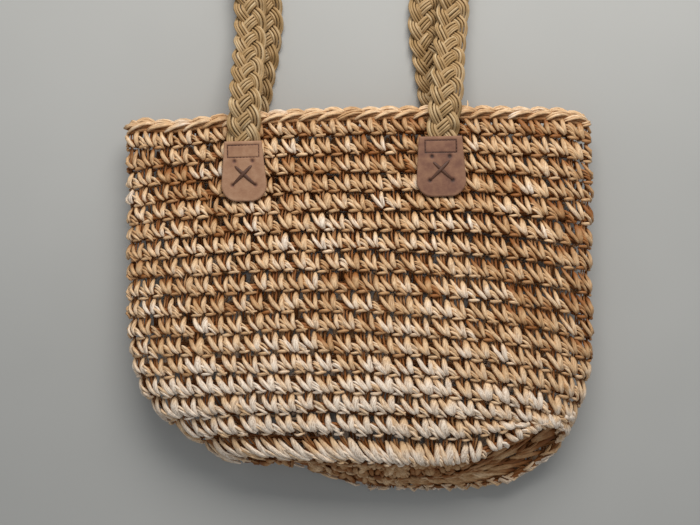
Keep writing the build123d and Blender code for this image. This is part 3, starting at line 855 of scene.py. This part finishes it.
# each leg's points, to the right, up and out, its radii, and how much paler it is
LINK_LEGS = (
    ([(1.0, 3.4, -1.6), (5.0, 6.6, -1.4), (10.0, 7.8, -1.2), (15.0, 7.4, -1.2), (20.0, 5.6, -1.0),
      (24.0, 3.4, -0.4)], [0.8, 1.15, 1.25, 1.25, 1.15, 0.8], 0.04),
    ([(-2.0, -2.2, 2.0), (2.0, -0.2, 3.6), (7.0, 2.0, 4.2), (12.0, 3.5, 3.8), (17.0, 4.2, 2.6),
      (21.5, 4.0, 1.0)], [0.9, 1.2, 1.3, 1.3, 1.2, 0.8], 0.04),
    ([(-1.5, -1.6, -2.6), (2.0, 0.4, -3.6), (7.0, 2.2, -3.8), (12.0, 3.4, -3.4), (17.0, 3.8, -2.4),
      (21.0, 3.4, -1.4)], [0.9, 1.2, 1.3, 1.3, 1.2, 0.8], -0.08),
)
RIM_CORDS = ((-1.8, 0.2, 1.8), (1.6, 0.0, 2.2))   # up, out and radius
chain_groups = []
for leg_points, leg_girth, leg_tone in LINK_LEGS:
    for ply in (-PLY_APART, PLY_APART):
        raised = [(right, up + FOOT + ply * 0.8, out - ply * 0.5) for right, up, out in leg_points]
        chain_groups.append(stitch_strand(link_feet, raised, (0.5, 0.35, 0.25), leg_girth, leg_girth, 6,
                                          link_tone + leg_tone + spread(link_count, by=0.08)))
fray_feet = (np.zeros(1), np.full(1, FRAY_AT / rim_length), np.full(1, rim_length), np.ones(1))
chain_groups.append(stitch_strand(
    fray_feet, [(0.0, 7.0, -1.0), (1.2, 10.5, -1.2), (2.4, 14.0, -2.0), (2.6, 17.5, -3.2)], (0.3, 0.3, 0.2),
    [0.7, 0.9, 0.8, 0.4], [0.6, 0.7, 0.6, 0.3], 6, 0.7))
around = np.linspace(0, 1, 3 * link_count + 1)[None, :]
for cord_up, cord_out, cord_girth in RIM_CORDS:
    cord_level = np.full_like(around, -(FOOT + cord_up) / ROUND_PITCH)
    paths, normals = on_body(cord_level, around, np.full_like(around, cord_out))
    chain_groups.append(strands(paths, cord_girth * MM, cord_girth * MM, normals, 6, 0.36, 0.2))
chain = together(chain_groups)
chain["verts"] = press_under(chain["verts"])
rim_piece = add_piece("rim_chain_links", chain, crochet_straw)
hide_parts("rim_chain")

# %% [markdown]
# ## Leather tabs
# Four tabs of thick suede-like leather, cut with a straight top, sides that spread and large round
# lower corners. A pressed rectangle frames the stitching, and the lace's holes are punched through.
# Oiled suede has a fine nap, so it is rough, with hardly a highlight, and oil leaves it mottled in
# patches of about a centimetre.
# Each tab is a fine grid of columns and rows between two outlines, front and back faces joined.
# %% Tab leather
leather, tree, output = new_material("oiled_suede_leather")
place = node(tree, "ShaderNodeTexCoord").outputs["Object"]
mottle = node(tree, "ShaderNodeTexNoise", Vector=place, Scale=110.0, Detail=5.0,
              Roughness=0.65).outputs["Fac"]
nap = node(tree, "ShaderNodeTexNoise", Vector=place, Scale=900.0, Detail=3.0).outputs["Fac"]
HIDE_STOPS = [(0.0, "#3a2218"), (0.3, "#784f3b"), (0.6, "#9d7254"), (1.0, "#bf9878")]
hide = node(tree, "ShaderNodeValToRGB", {"stops": HIDE_STOPS},
            Fac=moved_tone(tree, mottle, 0.7)).outputs["Color"]
bump = node(tree, "ShaderNodeBump", Height=nap, Strength=0.35, Distance=0.0004).outputs["Normal"]
shader = node(tree, "ShaderNodeBsdfPrincipled", **{"Base Color": hide, "Roughness": 0.72, "Normal": bump,
                                                   "IOR": 1.5, "Sheen Weight": 0.15})
tree.links.new(shader.outputs[0], output.inputs["Surface"])

# %% Tabs
TAB_HEIGHT = 54.0
TAB_CORNER = 14.5
TAB_THICK = 2.6
FRAME_WIDE = 28.0
FRAME_TALL = 11.0
FRAME_DROP = 3.6
EDGE_ROLL = 0.75         # how far the faces drop at the cut edge
EDGE_WIDE = 1.4
GROOVE_DEEP = 0.55       # how far the pressed frame is sunk
GROOVE_WIDE = 0.55
HOLE_DEEP = 1.3
HOLE_RADIUS = 1.7
HOLES = ((-8.0, -18.0), (8.0, -18.0), (-10.3, -39.5), (10.3, -39.5))
CROSS_TOP = ((-8.8, -21.5), (8.4, -21.0))   # where the crossed lace shows its upper ends
TAB_ROWS = 120
TAB_COLUMNS = 96


def tab_shape(half_top, half_low, tone, seed):
    """x = column share times half width(t), t being the distance down: the half width is straight,
    then round the corner as low - r + sqrt(r^2 - (t - t0)^2). The faces drop near the edge, in the
    pressed frame and at the holes, wave a little, and curl up at the top corners."""
    local = np.random.default_rng(seed)
    corner_from = TAB_HEIGHT - TAB_CORNER
    straight = np.linspace(0, corner_from, TAB_ROWS * 2 // 3, endpoint=False)
    bend = corner_from + TAB_CORNER * np.sin(np.linspace(0, np.pi / 2, TAB_ROWS - len(straight)))
    down = np.r_[straight, bend]
    half = half_top + (half_low - half_top) * down / corner_from
    into = np.clip(down - corner_from, 0, TAB_CORNER)
    half = np.minimum(half, half_low) - TAB_CORNER + np.sqrt(np.maximum(TAB_CORNER ** 2 - into ** 2, 0))
    share = np.linspace(-1, 1, TAB_COLUMNS)
    x = half[:, None] * share[None, :]
    t = np.broadcast_to(down[:, None], x.shape)
    corner_x = half_low - TAB_CORNER
    round_gap = TAB_CORNER - np.hypot(np.maximum(np.abs(x) - corner_x, 0), np.maximum(t - corner_from, 0))
    side_gap = np.minimum(half_top + (half_low - half_top) * np.minimum(t / corner_from, 1) - np.abs(x), t)
    edge = np.minimum(np.where(t > corner_from, round_gap, side_gap), TAB_HEIGHT - t)
    roll = (1 - np.clip(edge / EDGE_WIDE, 0, 1)) ** 2 * EDGE_ROLL
    frame_x = np.abs(x) - FRAME_WIDE / 2
    frame_t = np.abs(t - FRAME_DROP - FRAME_TALL / 2) - FRAME_TALL / 2
    groove = np.exp(-(np.maximum(frame_x, frame_t) / GROOVE_WIDE) ** 2)
    inside = (frame_x < 0) & (frame_t < 0)
    hole = sum(np.exp(-((x - hx) ** 2 + (t + hy) ** 2) / HOLE_RADIUS ** 2) for hx, hy in HOLES)
    wave = 0.25 * np.sin(x / 9 + local.uniform(0, 6)) * np.sin(t / 13 + local.uniform(0, 6))
    curl = 0.5 * (np.abs(x) / half_low) ** 3 * np.exp(-t / 12)
    sunk = GROOVE_DEEP * groove + 0.12 * inside + HOLE_DEEP * np.clip(hole, 0, 1)
    top = TAB_THICK - roll - sunk + wave + curl
    low = np.minimum(0.4 * roll + wave + curl, top - 0.5)
    face = np.stack([x, -t, top], axis=-1).reshape(-1, 3)
    back = np.stack([x, -t, np.maximum(low, 0.0)], axis=-1).reshape(-1, 3)
    size = TAB_ROWS * TAB_COLUMNS
    index = np.arange(size).reshape(TAB_ROWS, TAB_COLUMNS)
    quads = np.stack([index[:-1, :-1], index[1:, :-1], index[1:, 1:], index[:-1, 1:]],
                     axis=-1).reshape(-1, 4)
    ring = np.concatenate([index[0, ::-1], index[1:, 0], index[-1, 1:], index[-2:0:-1, -1]])
    nearby = np.roll(ring, -1)
    walls = np.stack([nearby, ring, ring + size, nearby + size], axis=-1)
    quads = np.concatenate([quads, quads[:, ::-1] + size, walls])
    wear = np.clip(edge / 5, 0, 1)
    # darker along the pressed groove, and darker still at the holes, which is painted shade in them
    shade = tone - 0.40 * groove - 0.55 * np.clip(hole, 0, 1) + 0.10 * (1 - wear) - 0.05 * (edge < 0.4)
    return {"verts": np.concatenate([face, back]), "fibre": np.concatenate([face, back]),
            "quads": quads, "tris": np.empty((0, 3), int), "tone": np.tile(shade.ravel(), 2)}


def on_seat(seat, points):
    """Points drawn with y up the tab, z out of it and mm, moved onto the tab's seat, in metres."""
    y = seat["top"] + points[..., 1] * MM
    z = seat["inner"] + seat["slope"] * (y - seat["top"]) + seat["side"] * points[..., 2] * MM
    return np.stack([seat["x"] + points[..., 0] * MM, y, z], axis=-1)


# half width at the top and low down, tone and seed
TAB_LOOKS = {"front_left": (16.8, 20.2, 0.62, 3), "front_right": (19.4, 22.2, 0.36, 4),
             "back_left": (17.8, 21.6, 0.55, 5), "back_right": (18.2, 21.8, 0.50, 6)}
SEATS["front_right"]["x"] -= 1.8 * MM   # this tab was sewn a little off the middle of its plait
for seat_name, (half_top, half_low, tone, seed) in TAB_LOOKS.items():
    seat = SEATS[seat_name]
    shape = tab_shape(half_top, half_low, tone, seed)
    shape["verts"] = on_seat(seat, shape["verts"])
    if seat["side"] < 0:
        shape["quads"] = shape["quads"][:, ::-1]
    tab_piece = add_piece(f"{seat_name}_leather_tab", shape, leather)
    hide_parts(f"{seat_name}_tab")

# %% [markdown]
# ## Laces and box stitches
# A flat dark lace comes up just below one upper hole, crosses the tab and goes down through the lower
# hole opposite, and a second one crosses over it. Inside the bag each ends in a small knot. The
# rectangle at the top is sewn with waxed thread: short stitches, each a strand with closed ends, that
# sink into the groove. Rolled leather and waxed thread are dark and a little smoother than suede, with
# a grain of about a millimetre.
# %% Lace and thread materials


def plain_strand_material(name, stops, roughness):
    """A ramp over tone and fine noise: dark leather or thread whose strands differ slightly."""
    material, tree, output = new_material(name)
    place = node(tree, "ShaderNodeTexCoord").outputs["Object"]
    grain = node(tree, "ShaderNodeTexNoise", Vector=place, Scale=700.0, Detail=3.0).outputs["Fac"]
    bump = node(tree, "ShaderNodeBump", Height=grain, Strength=0.4, Distance=0.0003).outputs["Normal"]
    colour = node(tree, "ShaderNodeValToRGB", {"stops": stops},
                  Fac=moved_tone(tree, grain, 0.5)).outputs["Color"]
    shader = node(tree, "ShaderNodeBsdfPrincipled", **{"Base Color": colour, "Roughness": roughness,
                                                       "Normal": bump})
    tree.links.new(shader.outputs[0], output.inputs["Surface"])
    return material


lace_leather = plain_strand_material("rolled_lace_leather", [(0.0, "#2c150b"), (1.0, "#70462d")], 0.6)
waxed_thread = plain_strand_material("waxed_thread", [(0.0, "#30190f"), (1.0, "#704832")], 0.5)

# %% Laces and stitches
LACE_INSIDE = 12.0       # the lace's ends lie this far in from the tab's outer face
LACE_DEEP = 0.55 * MM
KNOT_RADIUS = 1.6
KNOT_GIRTH = 1.0 * MM
THREAD_PITCH = 3.0       # one stitch of thread
THREAD_WIDE = 0.38 * MM
THREAD_DEEP = 0.34 * MM
for seat_name, seat in SEATS.items():
    groups = []
    for (start_x, start_y), (end_x, end_y), lift in ((CROSS_TOP[0], HOLES[3], 0.0),
                                                     (CROSS_TOP[1], HOLES[2], 0.9)):
        share = np.array([0.0, 0.0, 0.04, 0.15, 0.35, 0.5, 0.65, 0.85, 0.96, 1.0, 1.0])
        out = TAB_THICK + np.array([-LACE_INSIDE, -2.0, -0.6, 0.3, 0.55, 0.6 + lift, 0.55, 0.3, -0.6, -2.0,
                                    -LACE_INSIDE])
        path = np.stack([start_x + (end_x - start_x) * share, start_y + (end_y - start_y) * share, out],
                        axis=-1)
        path = on_seat(seat, path)[None]
        heading = unit(np.array([end_x - start_x, end_y - start_y, 0.0]))
        flat_side = np.array([-heading[1], heading[0], 0.0])
        outward = np.cross(flat_side, tangents(path))
        width = np.array([0.8, 0.8, 0.9, 1.25, 1.45, 1.45, 1.4, 1.2, 0.9, 0.8, 0.8]) * MM
        groups.append(strands(path, width[None], LACE_DEEP, outward, 10, 0.45))
    for knot_x in (HOLES[2][0], HOLES[3][0]):
        turn = np.linspace(0, 2 * np.pi, 13)
        knot = np.stack([knot_x + KNOT_RADIUS * np.cos(turn), HOLES[2][1] + KNOT_RADIUS * np.sin(turn),
                         np.full(len(turn), TAB_THICK - LACE_INSIDE)], axis=-1)
        groups.append(strands(on_seat(seat, knot)[None], KNOT_GIRTH, KNOT_GIRTH,
                              np.array([0.0, 0.0, 1.0]), 6, 0.4))
    lace = add_piece(f"{seat_name}_crossed_lace", together(groups), lace_leather)
    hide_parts(f"{seat_name}_lace")

    corners = np.array([(-1, 0), (1, 0), (1, -1), (-1, -1), (-1, 0)], float)
    corners *= (FRAME_WIDE / 2, FRAME_TALL)
    corners[:, 1] -= FRAME_DROP
    run = np.r_[0, np.cumsum(np.linalg.norm(np.diff(corners, axis=0), axis=1))]
    count = int(run[-1] / THREAD_PITCH)
    middle = (np.arange(count) + 0.5) / count * run[-1]
    places = middle[:, None] + np.array([-1.15, -0.5, 0.5, 1.15])
    thread_x = np.interp(places, run, corners[:, 0])
    thread_y = np.interp(places, run, corners[:, 1])
    sink = TAB_THICK + np.broadcast_to(np.array([-0.75, -0.3, -0.3, -0.75]), places.shape)
    paths = on_seat(seat, np.stack([thread_x, thread_y, sink], axis=-1))
    thread = strands(paths, THREAD_WIDE, THREAD_DEEP, np.array([0.0, 0.0, float(seat["side"])]), 6,
                     0.45 + spread(count, by=0.15))
    sewn = add_piece(f"{seat_name}_sewn_rectangle", thread, waxed_thread)
    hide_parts(f"{seat_name}_box_stitch")
